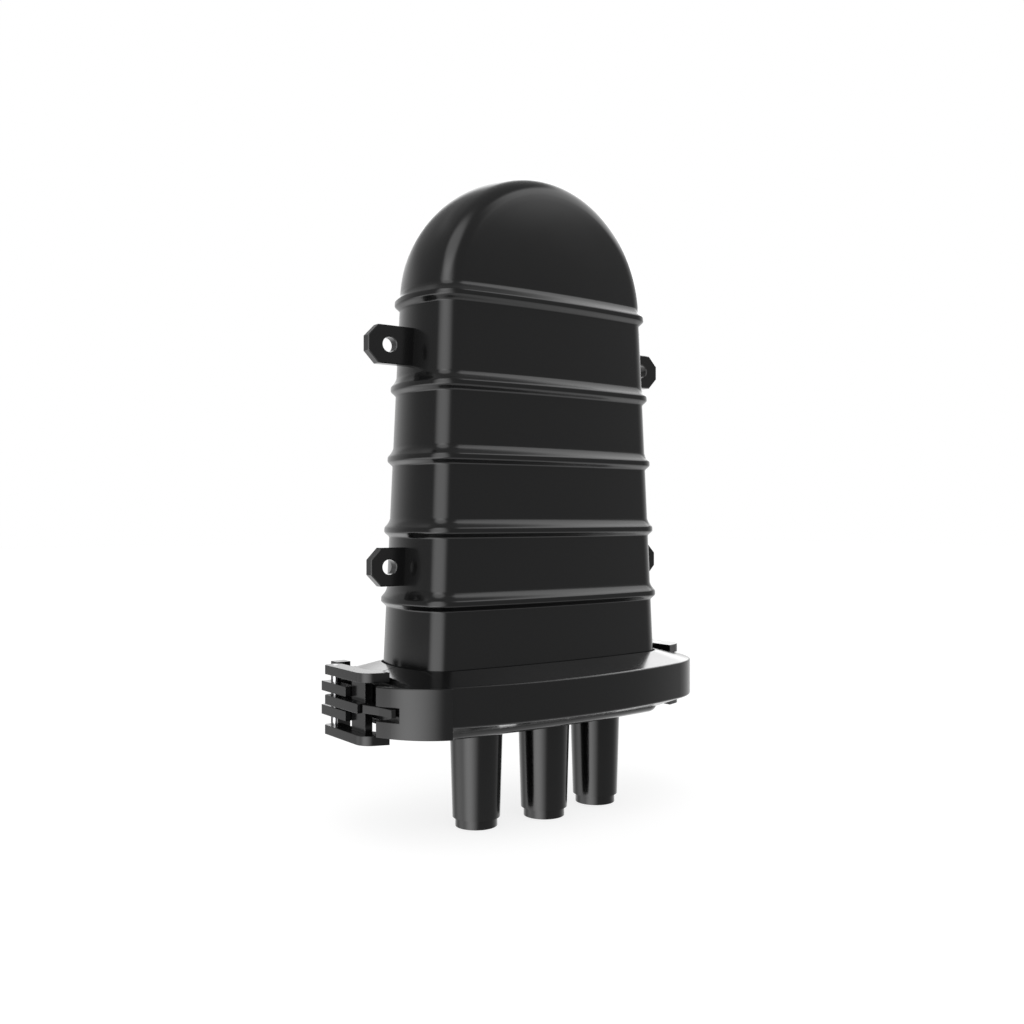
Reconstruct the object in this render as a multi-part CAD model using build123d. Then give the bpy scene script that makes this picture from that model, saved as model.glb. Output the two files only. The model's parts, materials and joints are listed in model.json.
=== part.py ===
from build123d import *
import os

# Fibre splice closure: a domed cover clamped on a base with three cable ports.
# All sizes are in millimetres. X runs along the long axis, Y points to the back and Z points up.
# The origin is the centre of the four fixing holes, on the plane of the fixing ears.

# Fixing ears on the dome
EAR_SPACING_Z = 130.0
EAR_HOLE_D = 9.0
EAR_THICK = 6.2
EAR_HALF_HEIGHT = 11.3
EAR_TIP_HALF = 4.4
EAR_CHAMFER = 6.8
EAR_REACH_TOP = 14.2
EAR_REACH_LOW = 12.3

# Dome
DOME_TOP_Z = 178.5
DOME_FOOT_Z = -124.0
DOME_HALF_X = 92.5
DOME_HALF_Y = 38.0
DOME_TAPER_X = 0.044
DOME_TAPER_Y = 0.018
DOME_END_SAG = 8.0
DOME_FACE_SAG = 4.7
DOME_CORNER_R = 14.5
DOME_WALL = 3.5
EAR_HOLE_ROOM = 7.5
EAR_ROOT = 14.0
EAR_SPACING_X = 2 * (DOME_HALF_X + EAR_HOLE_ROOM)

# Ribs round the dome
RIB_HEIGHTS = [-85.8, -43.6, -0.5, 42.4, 94.8]
RIB_PROUD = 3.2
RIB_UPPER = 7.0
RIB_LOWER = 4.2
RIB_LAND = 1.0
RIB_SHOULDER = 0.8
RIB_FLANK = 0.3
RIB_ROOT = 0.3

# Clamp ring, made as two half hoops
RING_REACH_X = 29.8
RING_REACH_Y = 28.3
RING_HALF_X = DOME_HALF_X + RING_REACH_X
RING_HALF_Y = DOME_HALF_Y + RING_REACH_Y
RING_END_SAG = 23.9
RING_FACE_SAG = 14.6
RING_CORNER_R = 46.0
RING_MID_Z = -141.15
RING_BAND = 22.7
RING_RISE = 5.8
RING_WALL = 11.4
RING_EDGE_R = 1.2
RING_SPLIT = 0.6

# Flanges of the dome and the base, held in the ring's groove
FLANGE_GAP = 0.5
DOME_FLANGE_T = 5.5
BASE_FLANGE_T = 5.85
GROOVE_GAP = 0.35

# Seal
SEAL_WIDTH = 4.8
SEAL_DEPTH = 3.2
SEAL_INSET = 5.5
SEAL_GAP = 0.1

# Base dish
DISH_HALF_X = DOME_HALF_X + 2.5
DISH_HALF_Y = DOME_HALF_Y + 7.0
DISH_END_SAG = 17.0
DISH_FACE_SAG = 4.5
DISH_CORNER_R = 12.0
DISH_BOTTOM_Z = -163.0
DISH_EDGE_R = 5.0
DISH_WALL = 3.5
LIP_GAP = 0.6
LIP_LAND = 1.2

# Cable ports
PORT_PLACES = [(-47.0, -15.0), (0.0, -21.0), (47.0, -15.0)]
PORT_TOP_R = 16.0
PORT_END_R = 14.4
PORT_SHOULDER_Z = -215.5
PORT_TIP_Z = -221.0
PORT_NUB_R = 12.7
PORT_WALL = 3.0
PORT_TIP_WALL = 2.5

# Latch at the left end
PLATE_T = 5.4
PLATE_LEVEL = 17.7
BAR_LEVEL = 7.05
LEVER_OUT_X = -RING_HALF_X - 2.7
LEVER_CORNER_Y = -15.5
LEVER_NECK_Y = -8.0
LEVER_IN_X = -RING_HALF_X + 7.8
LEVER_REAR_Y = 32.0
LEVER_FRONT_Y = -20.5
LEVER_NOSE_X = -RING_HALF_X + 12.3
LEVER_NOSE_R = 10.0
LEVER_MID_FRONT_Y = -10.0
LEVER_HEEL = 3.0
LEVER_BACK = 2.0
PILLAR_OUT_X = -RING_HALF_X + 3.0
PILLAR_REAR_Y = 7.1
PILLAR_FRONT_Y = -8.7
BAR_OUT_X = -RING_HALF_X - 0.7
BAR_IN_X = -RING_HALF_X + 5.8
BAR_FRONT_Y = 8.0
BAR_REAR_Y = 38.5
BAR_T = 5.7
BAR_ROOT = 5.0
LATCH_PIN_X = -RING_HALF_X + 2.55
LATCH_PIN_Y = 27.0
LATCH_PIN_D = 3.0
PIN_RUN_GAP = 0.08
TONGUE_H = 4.7
TONGUE_TIP_Y = -36.0
TONGUE_TIP_X = -RING_HALF_X + 4.3
TONGUE_IN_X = -RING_HALF_X + 7.4
TONGUE_KNEE_X = -RING_HALF_X + 3.3
TONGUE_SHOULDER_X = -RING_HALF_X - 0.2
TONGUE_SHOULDER_Y = -11.5
TONGUE_NECK_X = -RING_HALF_X + 3.8
TONGUE_NECK_Y = -6.0

# Bosses at the ends of the half hoops
BOSS_PROUD = 2.5
BOSS_LOW = 5.7
BOSS_END_Y = 24.0
BOSS_SIDE_X = RING_HALF_X - 31.3
BOSS_EDGE_R = 0.8
SLOT_TALL = 8.3
SLOT_LIFT = 0.4
NOSE_POCKET = 1.5
SLOT_DROP = 1.2
SLOT_DEEP = 14.0
SLOT_WALL_X = -RING_HALF_X + 8.4
BAY_WALL_X = -RING_HALF_X + 9.1
BAY_REAR_Y = 36.0
LEVEL_LIMIT = RING_HALF_X - 14.8
POST_OUT_X = -RING_HALF_X + 8.3
POST_IN_X = -RING_HALF_X + 17.3
POST_T = 8.0

# Hinge at the right end
HINGE_X = RING_HALF_X - 4.8
HINGE_PIN_D = 5.0
HINGE_KNUCKLE_R = 5.4
HINGE_CLEAR_R = 8.0
HINGE_SWEEP_R = 22.0
HINGE_PLATE_IN_X = RING_HALF_X - 12.3
HINGE_PAD_IN_X = RING_HALF_X - 11.3
HINGE_PAD_OUT_X = RING_HALF_X - 1.3
HINGE_PAD_FRONT_Y = 12.0

# Tray bracket inside
FLOOR_Z = DISH_BOTTOM_Z + DISH_WALL
BOSS_TALL = 6.5
FOOT_T = 3.0
FOOT_HALF_X = 58.0
FOOT_FRONT_Y = 4.0
FOOT_REAR_Y = 34.0
SCREW_X = 30.0
SCREW_ROWS = [9.5, 27.0]
SCREW_D = 4.0
SCREW_HEAD_D = 7.4
SCREW_HEAD_T = 2.8
SCREW_BOSS_R = 4.6
SCREW_TIP_GAP = 1.0
UPRIGHT_HALF_X = 36.0
UPRIGHT_T = 3.0
UPRIGHT_FRONT_Y = 14.0
UPRIGHT_TOP_Z = DOME_TOP_Z - 60.5
SHELF_Z = -96.0
SHELF_T = 3.0

# Splice trays
TRAY_COUNT = 3
TRAY_SIDE_ROOM = 22.5
TRAY_WIDTH = 2 * (DOME_HALF_X - TRAY_SIDE_ROOM)
TRAY_LOW_Z = -84.0
TRAY_TOP_ROOM = 48.5
TRAY_HIGH_Z = DOME_TOP_Z - TRAY_TOP_ROOM
TRAY_DEPTH = 9.0
TRAY_PITCH = 10.0
TRAY_WALL = 1.6
TRAY_CORNER_R = 34.0
TRAY_FIRST_Y = 13.5
DRUM_R = 25.0
DRUM_HALF_GAP = 62.0
DRUM_DROP = 1.0
KNUCKLE_HALF_X = 20.0
KNUCKLE_R = 3.4
TRAY_LOW_R = 12.0
ENTRY_X = 50.0
ENTRY_WIDE = 12.0
KNUCKLE_Z = -87.0
TRAY_PIN_D = 3.0
LUG_T = 4.0
LUG_GAP = 0.3
LUG_TRIM = 0.7
COVER_T = 2.0

# Splice holders and sleeves
SLEEVE_COUNT = 12
SLEEVE_D = 2.6
SLEEVE_LEN = 42.0
SLEEVE_PITCH = 3.4
SLEEVE_GAP = 0.05
SLEEVE_SINK = 1.0
COMB_H = 5.0
COMB_BAR = 6.0
COMB_SPAN = 30.0
COMB_BASE_T = 1.0
COMB_END = 1.0

# Slack basket, strap and cable anchors
BASKET_HALF_X = FOOT_HALF_X
BASKET_LOW_Z = -70.0
BASKET_HIGH_Z = 48.0
BASKET_DEPTH = 8.5
BASKET_WALL = 1.6
BASKET_CORNER_R = 20.0
STRAP_Z = 64.0
STRAP_WIDE = 18.0
STRAP_T = 1.2
STRAP_GAP = 0.3
ANCHOR_WIDE = 12.0
ANCHOR_T = 2.0
ANCHOR_TALL = 28.0
ANCHOR_FOOT = 9.0
ANCHOR_SCREW_UP = 16.0
ANCHOR_SCREW_D = 3.0
ANCHOR_HEAD_D = 6.0
ANCHOR_HEAD_T = 2.2
JAW_T = 3.0
JAW_TALL = 12.0
RIVET_D = 3.0
RIVET_HEAD_D = 5.4
RIVET_HEAD_T = 1.0


# How far a cutting block passes the face that it cuts, and two joined blocks run into each other
OVER = 1.0

# Derived heights
ring_top_z = RING_MID_Z + RING_BAND / 2
ring_low_z = RING_MID_Z - RING_BAND / 2
latch_mid_z = RING_MID_Z - BOSS_LOW / 2
boss_low_z = ring_low_z - BOSS_LOW
dome_flange_z = RING_MID_Z + DOME_FLANGE_T
base_flange_z = RING_MID_Z - BASE_FLANGE_T
flange_inset = RING_WALL + FLANGE_GAP
foot_low_z = FLOOR_Z + BOSS_TALL
foot_top_z = foot_low_z + FOOT_T


def barrel(half_x, half_y, end_sag, face_sag, corner, z):
    """A flat face at height z: four bulged sides that meet in round corners."""
    cx = half_x - end_sag
    cy = half_y - face_sag
    sides = [
        ThreePointArc((-cx, -cy), (0, -half_y), (cx, -cy)),
        ThreePointArc((cx, -cy), (half_x, 0), (cx, cy)),
        ThreePointArc((cx, cy), (0, half_y), (-cx, cy)),
        ThreePointArc((-cx, cy), (-half_x, 0), (-cx, -cy)),
    ]
    flat = make_face(sides)
    flat = fillet(flat.vertices(), corner)
    return Pos(0, 0, z) * flat


def dome_section(z, inset=0.0):
    """The dome's outline at height z, moved inwards by inset."""
    rise = z - DOME_FOOT_Z
    half_x = DOME_HALF_X - DOME_TAPER_X * rise - inset
    half_y = DOME_HALF_Y - DOME_TAPER_Y * rise - inset
    return barrel(half_x, half_y, DOME_END_SAG, DOME_FACE_SAG, DOME_CORNER_R, z)


def dish_section(z, inset=0.0):
    """The base dish's outline at height z, moved inwards by inset."""
    half_x = DISH_HALF_X - inset
    half_y = DISH_HALF_Y - inset
    return barrel(half_x, half_y, DISH_END_SAG, DISH_FACE_SAG, DISH_CORNER_R, z)


def arch_start_z():
    """Height where the straight walls end and the round top begins."""
    foot = DOME_TOP_Z - DOME_HALF_X - DOME_TAPER_X * DOME_FOOT_Z
    return foot / (1 - DOME_TAPER_X)


def dome_form(low_z, inset=0.0):
    """The dome as one solid block: tapered walls and a top turned about a cross axis."""
    start = arch_start_z()
    walls = loft([dome_section(low_z, inset), dome_section(start, inset)], ruled=True)
    top = dome_section(start, inset)
    wide = 2 * DOME_HALF_X
    half = top & (Pos(wide / 2, 0, start) * Rectangle(wide, wide))
    turned = revolve(half, Axis((0, 0, start), (0, 1, 0)), 360)
    return walls + turned


def rib(z):
    """One rib: a block whose outline swells to the crest and dies away into the wall."""
    profile = [
        (-RIB_LOWER, -RIB_ROOT),
        (-RIB_LAND, RIB_PROUD * RIB_SHOULDER),
        (0, RIB_PROUD),
        (RIB_LAND, RIB_PROUD * RIB_SHOULDER),
        (RIB_UPPER / 2, RIB_PROUD * RIB_FLANK),
        (RIB_UPPER, -RIB_ROOT),
    ]
    return loft([dome_section(z + up, -out) for up, out in profile], ruled=True)


def xz_plate(points, y_low, y_high):
    """A plate drawn in X and Z, standing between two Y values."""
    outline = Polyline([(x, 0, z) for x, z in points], close=True)
    flat = Pos(0, y_low, 0) * Face(outline.wire())
    return extrude(flat, amount=y_high - y_low, dir=(0, 1, 0))


def plan_plate(points, z_low, z_high):
    """A plate drawn in X and Y, standing between two heights."""
    outline = Polyline([(x, y, z_low) for x, y in points], close=True)
    return extrude(Face(outline.wire()), amount=z_high - z_low, dir=(0, 0, 1))


def block(x0, x1, y0, y1, z0, z1):
    """A box given by its limits."""
    middle = Pos((x0 + x1) / 2, (y0 + y1) / 2, (z0 + z1) / 2)
    return middle * Box(x1 - x0, y1 - y0, z1 - z0)


def post(x, y, radius, z0, z1):
    """An upright round bar between two heights."""
    return Pos(x, y, (z0 + z1) / 2) * Cylinder(radius, z1 - z0)


def ear(side, z, reach):
    """One fixing ear with its chamfered tip."""
    hole_x = side * EAR_SPACING_X / 2
    root_x = side * (DOME_HALF_X - EAR_ROOT)
    tip_x = hole_x + side * reach
    knee_x = tip_x - side * EAR_CHAMFER
    points = [
        (root_x, z - EAR_HALF_HEIGHT),
        (knee_x, z - EAR_HALF_HEIGHT),
        (tip_x, z - EAR_TIP_HALF),
        (tip_x, z + EAR_TIP_HALF),
        (knee_x, z + EAR_HALF_HEIGHT),
        (root_x, z + EAR_HALF_HEIGHT),
    ]
    plate = xz_plate(points, -EAR_THICK / 2, EAR_THICK / 2)
    drill = Pos(hole_x, 0, z) * Rot(90, 0, 0) * Cylinder(EAR_HOLE_D / 2, 4 * EAR_THICK)
    return plate - drill


def ring_outline(inset, z):
    """The clamp ring's outline, moved inwards by inset."""
    return barrel(
        RING_HALF_X - inset,
        RING_HALF_Y - inset,
        RING_END_SAG,
        RING_FACE_SAG,
        RING_CORNER_R - inset,
        z,
    )


def slab(section, height):
    """A section pushed straight up."""
    return extrude(section, amount=height, dir=(0, 0, 1))


def make_dome():
    """The cover: walls, ribs, ears and flange as one moulding."""
    shell = dome_form(RING_MID_Z)
    for z in RIB_HEIGHTS:
        shell += rib(z)
    for side in (-1, 1):
        shell += ear(side, EAR_SPACING_Z / 2, EAR_REACH_TOP)
        shell += ear(side, -EAR_SPACING_Z / 2, EAR_REACH_LOW)
    shell += slab(ring_outline(flange_inset, RING_MID_Z), DOME_FLANGE_T)
    return shell - dome_form(RING_MID_Z - OVER, DOME_WALL)


def port_tube(x, y):
    """A tapered port tube with its closed nub."""
    tall = DISH_BOTTOM_Z + OVER - PORT_SHOULDER_Z
    middle = (DISH_BOTTOM_Z + OVER + PORT_SHOULDER_Z) / 2
    tube = Pos(x, y, middle) * Cone(PORT_END_R, PORT_TOP_R, tall)
    nub = post(x, y, PORT_NUB_R, PORT_TIP_Z, PORT_SHOULDER_Z + OVER)
    return tube + nub


def port_bore(x, y):
    """The inside of a port tube, open to the base and closed at the nub."""
    tall = FLOOR_Z + OVER - PORT_SHOULDER_Z
    middle = (FLOOR_Z + OVER + PORT_SHOULDER_Z) / 2
    bore = Pos(x, y, middle) * Cone(PORT_END_R - PORT_WALL, PORT_TOP_R - PORT_WALL, tall)
    end = post(x, y, PORT_NUB_R - PORT_WALL, PORT_TIP_Z + PORT_TIP_WALL, PORT_SHOULDER_Z + OVER)
    return bore + end


def make_base():
    """The base: flange, dish and ports as one moulding."""
    dish = slab(dish_section(DISH_BOTTOM_Z), RING_MID_Z - DISH_BOTTOM_Z)
    dish = fillet(dish.edges().group_by(Axis.Z)[0], DISH_EDGE_R)
    hollow = dish_section(FLOOR_Z, DISH_WALL)
    body = dish + slab(ring_outline(flange_inset, base_flange_z), BASE_FLANGE_T)
    for x, y in PORT_PLACES:
        body += port_tube(x, y)
    body -= slab(hollow, RING_MID_Z - FLOOR_Z + OVER)
    for x, y in PORT_PLACES:
        body -= port_bore(x, y)
    body -= seal_ring(SEAL_GAP, OVER)
    for side in (-1, 1):
        for y in SCREW_ROWS:
            body += post(side * SCREW_X, y, SCREW_BOSS_R, FLOOR_Z - OVER, FLOOR_Z + BOSS_TALL)
            body -= post(side * SCREW_X, y, SCREW_D / 2, FLOOR_Z - OVER, FLOOR_Z + BOSS_TALL + OVER)
    return body


def seal_ring(grow, over):
    """The seal's ring; grow widens it into its groove, over lifts it past the joint face."""
    inset = flange_inset + SEAL_INSET
    low = RING_MID_Z - SEAL_DEPTH
    outer = slab(ring_outline(inset - grow, low), SEAL_DEPTH + over)
    inner = slab(ring_outline(inset + SEAL_WIDTH + grow, low - OVER), SEAL_DEPTH + over + 2 * OVER)
    return outer - inner


def latch_bay():
    """The room cut out of the ring's left end, where the latch sits between the bosses."""
    return block(
        2 * LEVER_OUT_X, BAY_WALL_X, -BOSS_END_Y, BAY_REAR_Y,
        2 * boss_low_z, DOME_FOOT_Z + OVER,
    )


def top_and_bottom(x0, x1, y0, y1):
    """Two blocks that level the ring's sloped top and underside under a latch plate."""
    upper = block(x0, x1, y0, y1, ring_top_z, ring_top_z + 3 * RING_RISE)
    lower = block(x0, x1, y0, y1, ring_low_z - 3 * RING_RISE, ring_low_z)
    return upper + lower


def full_ring():
    """Both half hoops as one ring, before it is split."""
    body = slab(ring_outline(0, ring_low_z), RING_BAND)
    crown = dome_section(ring_top_z + RING_RISE, -LIP_GAP - LIP_LAND)
    body += loft([ring_outline(0, ring_top_z), crown], ruled=True)
    keel = dish_section(ring_low_z - RING_RISE, -LIP_GAP - LIP_LAND)
    body += loft([keel, ring_outline(0, ring_low_z)], ruled=True)
    body = fillet([edge for edge in body.edges() if on_rim(edge)], RING_EDGE_R)
    body -= slab(dome_section(RING_MID_Z, -LIP_GAP), 2 * RING_BAND)
    body -= slab(dish_section(RING_MID_Z - 2 * RING_BAND, -LIP_GAP), 2 * RING_BAND)
    groove_low = base_flange_z - GROOVE_GAP
    groove_high = dome_flange_z + GROOVE_GAP
    return body - slab(ring_outline(RING_WALL, groove_low), groove_high - groove_low)


def on_rim(edge):
    """True for an edge on the outer rim, at the band's top or bottom."""
    z = edge.center().Z
    level = min(abs(z - ring_top_z), abs(z - ring_low_z)) < 0.01
    point = edge @ 0.5
    reach = (point.X / RING_HALF_X) ** 2 + (point.Y / RING_HALF_Y) ** 2
    return level and reach > 0.9


def boss(side, back):
    """A thick end of a half hoop; side is -1 on the left, back is 1 on the rear half."""
    outline = slab(ring_outline(-BOSS_PROUD, boss_low_z), ring_top_z - boss_low_z)
    outline = fillet(outline.edges().filter_by_position(Axis.Z, ring_top_z, ring_top_z), BOSS_EDGE_R)
    inner = slab(ring_outline(RING_WALL, boss_low_z - OVER), ring_top_z - boss_low_z + 2 * OVER)
    end_y = BOSS_END_Y if back < 0 else BAY_REAR_Y
    keep = block(
        min(side * BOSS_SIDE_X, side * 2 * RING_HALF_X),
        max(side * BOSS_SIDE_X, side * 2 * RING_HALF_X),
        min(back * end_y, back * 2 * RING_HALF_Y),
        max(back * end_y, back * 2 * RING_HALF_Y),
        2 * boss_low_z, 0,
    )
    return (outline & keep) - inner


def half_hoop(back):
    """One half of the clamp ring, with the latch bay and levelled ends."""
    far = 2 * RING_HALF_X
    body = full_ring() - latch_bay()
    body -= top_and_bottom(-far, -LEVEL_LIMIT, -BOSS_END_Y - SLOT_DEEP, BAR_REAR_Y)
    near, away = RING_SPLIT / 2, 2 * RING_HALF_Y
    keep = block(-far, far, min(back * near, back * away), max(back * near, back * away), 2 * boss_low_z, 0)
    return (body & keep) + boss(-1, back)


def nose_pockets():
    """Room above and below the front hoop's end for the noses of the latch plates."""
    upper = block(
        2 * LEVER_OUT_X, -LEVEL_LIMIT, -BOSS_END_Y, 0,
        ring_top_z - NOSE_POCKET, ring_top_z + 3 * RING_RISE,
    )
    lower = block(
        2 * LEVER_OUT_X, -LEVEL_LIMIT, -BOSS_END_Y, 0,
        ring_low_z - 3 * RING_RISE, ring_low_z + NOSE_POCKET,
    )
    return upper + lower


def make_front_hoop():
    """The whole swinging half hoop: latch boss with its slot, and the hinge knuckle."""
    body = half_hoop(-1) - nose_pockets()
    sweep_low = post(HINGE_X, 0, HINGE_SWEEP_R, ring_low_z - 3 * RING_RISE, ring_low_z)
    sweep_high = post(HINGE_X, 0, HINGE_SWEEP_R, ring_top_z, ring_top_z + 3 * RING_RISE)
    body -= sweep_low + sweep_high
    slot_top = latch_mid_z + PLATE_T / 2 + SLOT_LIFT
    body -= block(
        2 * LEVER_OUT_X, SLOT_WALL_X, -BOSS_END_Y - SLOT_DEEP, -BOSS_END_Y + SLOT_DROP,
        slot_top - SLOT_TALL, slot_top,
    )
    body += post(HINGE_X, 0, HINGE_KNUCKLE_R, ring_low_z, ring_top_z)
    run = HINGE_PIN_D / 2 + PIN_RUN_GAP
    return body - post(HINGE_X, 0, run, 2 * boss_low_z, 0)


def beyond_latch_boss():
    """The space at the latch end, past the inner side of the bosses."""
    return block(-2 * RING_HALF_X, -BOSS_SIDE_X, -2 * RING_HALF_Y, 2 * RING_HALF_Y, 2 * boss_low_z, 0)


def make_front_half():
    """The swinging half hoop without its latch end."""
    return make_front_hoop() - beyond_latch_boss()


def make_front_end():
    """The latch end of the swinging half hoop, which is one moulding with the rest of it."""
    return make_front_hoop() & beyond_latch_boss()


def make_rear_half():
    """The fixed half hoop: latch arms, the post behind the latch and the hinge plates."""
    body = half_hoop(1) - post(HINGE_X, 0, HINGE_CLEAR_R, 2 * boss_low_z, 0)
    reach = PLATE_LEVEL + PLATE_T / 2
    body += block(
        POST_OUT_X, POST_IN_X, BAY_REAR_Y, BAY_REAR_Y + POST_T,
        latch_mid_z - reach, latch_mid_z + reach,
    )
    for k in (-1, 1):
        arm_z = latch_mid_z + k * BAR_LEVEL
        body += block(BAR_OUT_X, BAR_IN_X, BAR_FRONT_Y, BAR_REAR_Y, arm_z - BAR_T / 2, arm_z + BAR_T / 2)
        body += block(
            BAR_OUT_X, POST_OUT_X + OVER, BAR_REAR_Y - BAR_ROOT, BAR_REAR_Y,
            arm_z - BAR_T / 2, arm_z + BAR_T / 2,
        )
        plate_z = latch_mid_z + k * PLATE_LEVEL
        body += hinge_plate(plate_z)
    body += block(
        HINGE_PAD_IN_X, HINGE_PAD_OUT_X, HINGE_PAD_FRONT_Y, LEVER_REAR_Y,
        latch_mid_z - PLATE_LEVEL, latch_mid_z + PLATE_LEVEL,
    )
    run = LATCH_PIN_D / 2 + PIN_RUN_GAP
    body -= post(LATCH_PIN_X, LATCH_PIN_Y, run, 2 * boss_low_z, 0)
    return body - post(HINGE_X, 0, HINGE_PIN_D / 2, 2 * boss_low_z, 0)


def rounded_nose(plate, x):
    """The outer front corner of a latch or hinge plate, rounded."""
    corner = Vector(x, LEVER_CORNER_Y, latch_mid_z)
    upright = plate.edges().filter_by(Axis.Z).sort_by_distance(corner)[0]
    return fillet(upright, LEVER_NOSE_R)


def hinge_plate(z):
    """A plate over or under the hinge, like the latch plate on the other end."""
    outer = -LEVER_OUT_X
    points = [
        (outer, LEVER_REAR_Y),
        (HINGE_PLATE_IN_X, LEVER_REAR_Y),
        (HINGE_PLATE_IN_X, LEVER_FRONT_Y),
        (outer, LEVER_CORNER_Y),
    ]
    return rounded_nose(plan_plate(points, z - PLATE_T / 2, z + PLATE_T / 2), outer)


def lever_plate(z):
    """The latch's upper or lower plate."""
    points = [
        (LEVER_OUT_X + LEVER_BACK, LEVER_REAR_Y),
        (LEVER_OUT_X, LEVER_REAR_Y - LEVER_BACK),
        (LEVER_OUT_X, LEVER_CORNER_Y),
        (LEVER_NOSE_X, LEVER_FRONT_Y),
        (LEVER_NOSE_X, LEVER_NECK_Y),
        (LEVER_IN_X, 0),
        (LEVER_IN_X, LEVER_REAR_Y - LEVER_HEEL),
        (LEVER_IN_X - LEVER_HEEL, LEVER_REAR_Y),
    ]
    return rounded_nose(plan_plate(points, z - PLATE_T / 2, z + PLATE_T / 2), LEVER_OUT_X)


def make_lever():
    """The latch lever: three plates, a pillar block and the tongue."""
    middle_points = [
        (LEVER_OUT_X + LEVER_BACK, LEVER_REAR_Y),
        (LEVER_OUT_X, LEVER_REAR_Y - LEVER_BACK),
        (LEVER_OUT_X, LEVER_MID_FRONT_Y),
        (LEVER_IN_X, LEVER_MID_FRONT_Y),
        (LEVER_IN_X, LEVER_REAR_Y - LEVER_HEEL),
        (LEVER_IN_X - LEVER_HEEL, LEVER_REAR_Y),
    ]
    tongue_points = [
        (TONGUE_IN_X, TONGUE_NECK_Y),
        (TONGUE_NECK_X, TONGUE_NECK_Y),
        (TONGUE_NECK_X, TONGUE_SHOULDER_Y),
        (TONGUE_SHOULDER_X, TONGUE_SHOULDER_Y),
        (TONGUE_KNEE_X, -BOSS_END_Y),
        (TONGUE_TIP_X, TONGUE_TIP_Y),
        (TONGUE_IN_X, TONGUE_TIP_Y),
    ]
    body = plan_plate(middle_points, latch_mid_z - PLATE_T / 2, latch_mid_z + PLATE_T / 2)
    body += plan_plate(tongue_points, latch_mid_z - TONGUE_H / 2, latch_mid_z + TONGUE_H / 2)
    for k in (-1, 1):
        body += lever_plate(latch_mid_z + k * PLATE_LEVEL)
    body += block(
        PILLAR_OUT_X, LEVER_IN_X, PILLAR_FRONT_Y, PILLAR_REAR_Y,
        latch_mid_z - PLATE_LEVEL, latch_mid_z + PLATE_LEVEL,
    )
    return body - post(LATCH_PIN_X, LATCH_PIN_Y, LATCH_PIN_D / 2, 2 * boss_low_z, 0)


def pin_through(x, y, diameter):
    """An upright pin from the lowest plate to the highest."""
    reach = PLATE_LEVEL + PLATE_T / 2
    return post(x, y, diameter / 2, latch_mid_z - reach, latch_mid_z + reach)


def cross_bar(x, y, z, radius, length, axis):
    """A round bar along X or Y."""
    turn = Rot(0, 90, 0) if axis == "x" else Rot(90, 0, 0)
    return Pos(x, y, z) * turn * Cylinder(radius, length)


def anchor_places():
    """X of each cable anchor, over its port."""
    return [x for x, y in PORT_PLACES]


def make_bracket():
    """The tray bracket: foot, upright, shelf and the lugs of the tray hinges."""
    body = block(-FOOT_HALF_X, FOOT_HALF_X, FOOT_FRONT_Y, FOOT_REAR_Y, foot_low_z, foot_top_z)
    rear = UPRIGHT_FRONT_Y + UPRIGHT_T
    body += block(-UPRIGHT_HALF_X, UPRIGHT_HALF_X, UPRIGHT_FRONT_Y, rear, foot_top_z, UPRIGHT_TOP_Z)
    lug_out = KNUCKLE_HALF_X + LUG_GAP + LUG_T
    shelf_front = tray_middle(TRAY_COUNT - 1) - KNUCKLE_R
    body += block(-lug_out, lug_out, shelf_front, UPRIGHT_FRONT_Y, SHELF_Z, SHELF_Z + SHELF_T)
    for k in range(TRAY_COUNT):
        y = tray_middle(k)
        for side in (-1, 1):
            x = side * (KNUCKLE_HALF_X + LUG_GAP + LUG_T / 2)
            radius = KNUCKLE_R - LUG_TRIM
            body += block(x - LUG_T / 2, x + LUG_T / 2, y - radius, y + radius, SHELF_Z, KNUCKLE_Z)
            body += cross_bar(x, y, KNUCKLE_Z, radius, LUG_T, "x")
        body -= cross_bar(0, y, KNUCKLE_Z, TRAY_PIN_D / 2, 2 * lug_out + 2 * OVER, "x")
    for side in (-1, 1):
        for y in SCREW_ROWS:
            body -= post(side * SCREW_X, y, SCREW_D / 2, foot_low_z - OVER, foot_top_z + OVER)
    for x in anchor_places():
        body -= post(x, rivet_y(), RIVET_D / 2, foot_low_z - OVER, foot_top_z + OVER)
    return body


def tray_middle(k):
    """Y of the middle of tray k, counted from the bracket forwards."""
    return TRAY_FIRST_Y - TRAY_DEPTH / 2 - k * TRAY_PITCH


def rivet_y():
    """Y of the anchor rivets, in the middle of the anchor's foot."""
    return FOOT_FRONT_Y + ANCHOR_T + (ANCHOR_FOOT - ANCHOR_T) / 2


def tray_plate(y_low, y_high, inset=0.0):
    """The tray's outline as a plate: round shoulders above, smaller corners below."""
    width = TRAY_WIDTH - 2 * inset
    tall = TRAY_HIGH_Z - TRAY_LOW_Z - 2 * inset
    middle_z = (TRAY_HIGH_Z + TRAY_LOW_Z) / 2
    plate = Pos(0, (y_low + y_high) / 2, middle_z) * Box(width, y_high - y_low, tall)
    uprights = plate.edges().filter_by(Axis.Y).group_by(Axis.Z)
    plate = fillet(uprights[1], TRAY_CORNER_R - inset)
    lower = plate.edges().filter_by(Axis.Y).group_by(Axis.Z)[0]
    return fillet(lower, TRAY_LOW_R - inset)


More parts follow.
